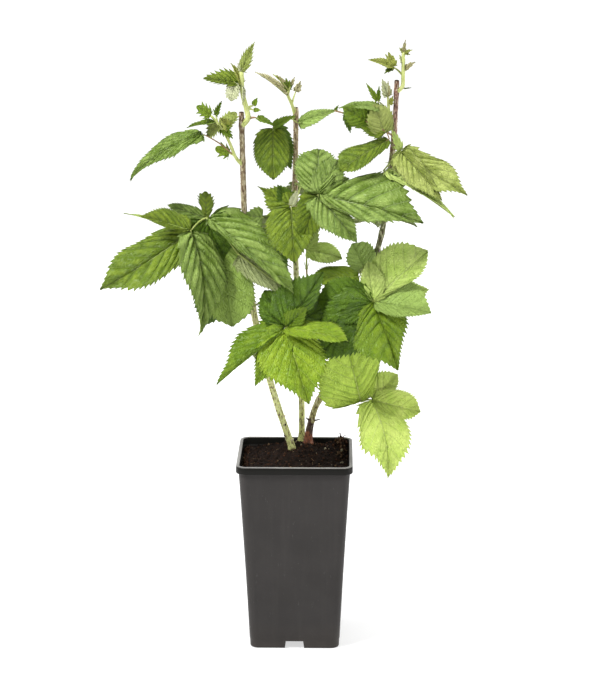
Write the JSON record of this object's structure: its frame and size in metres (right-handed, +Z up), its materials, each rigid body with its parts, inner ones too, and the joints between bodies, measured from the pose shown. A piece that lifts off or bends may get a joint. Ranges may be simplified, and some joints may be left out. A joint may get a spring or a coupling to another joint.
{
  "type": "potted raspberry plant",
  "caption": "Young raspberry plant with cut-back canes, side shoots and toothed compound leaves, growing in a tall square tapered nursery pot with a rim and foot recesses.",
  "frame": {"origin": "middle of the pot's underside, where it stands on the ground", "axes": "+Z up along the plant, -Y towards the front of the plant, +X to the viewer's right"},
  "size_m": [0.3687, 0.2216, 0.6301],
  "materials": {
    "pot_plastic": "satin, finely scuffed",
    "peat": "rough, crumbly",
    "cane_bark": "speckled, prickly",
    "young_bark": "smooth, matt",
    "mature_leaf": "matt, quilted by its veins",
    "bright_leaf": "satin, quilted by its veins",
    "yellow_green_leaf": "matt, quilted by its veins",
    "dark_leaf": "matt, quilted by its veins",
    "young_leaf": "downy, folded"
  },
  "bodies": {
    "root": {"pot": "pot_plastic", "soil": "peat", "left_cane": "cane_bark", "middle_cane": "cane_bark", "right_cane": "cane_bark", "young_cane": "young_bark", "left_broad_leaf": "mature_leaf", "left_hanging_leaf": "mature_leaf", "left_inner_leaf": "dark_leaf", "middle_upper_leaf": "dark_leaf", "middle_olive_leaf": "dark_leaf", "middle_large_leaf": "mature_leaf", "right_long_leaf": "mature_leaf", "right_arching_leaf": "mature_leaf", "right_yellow_leaf": "yellow_green_leaf", "right_low_leaf": "mature_leaf", "right_olive_leaf": "dark_leaf", "front_bright_leaf": "bright_leaf", "right_yellow_green_leaf": "yellow_green_leaf", "young_cane_leaf": "dark_leaf", "left_top_shoot": "young_leaf", "left_side_shoot": "young_leaf", "middle_top_shoot": "young_leaf", "right_top_shoot": "young_leaf", "right_side_shoot": "young_leaf", "left_back_leaf_high": "dark_leaf", "left_back_leaf_inner": "dark_leaf", "left_back_leaf_low": "dark_leaf", "left_back_leaf_foot": "dark_leaf", "middle_back_leaf_high": "dark_leaf", "middle_back_leaf_side": "dark_leaf", "middle_back_leaf_low": "dark_leaf", "right_back_leaf_high": "dark_leaf", "right_back_leaf_side": "dark_leaf", "right_back_leaf_low": "dark_leaf"}
  },
  "joints": []
}
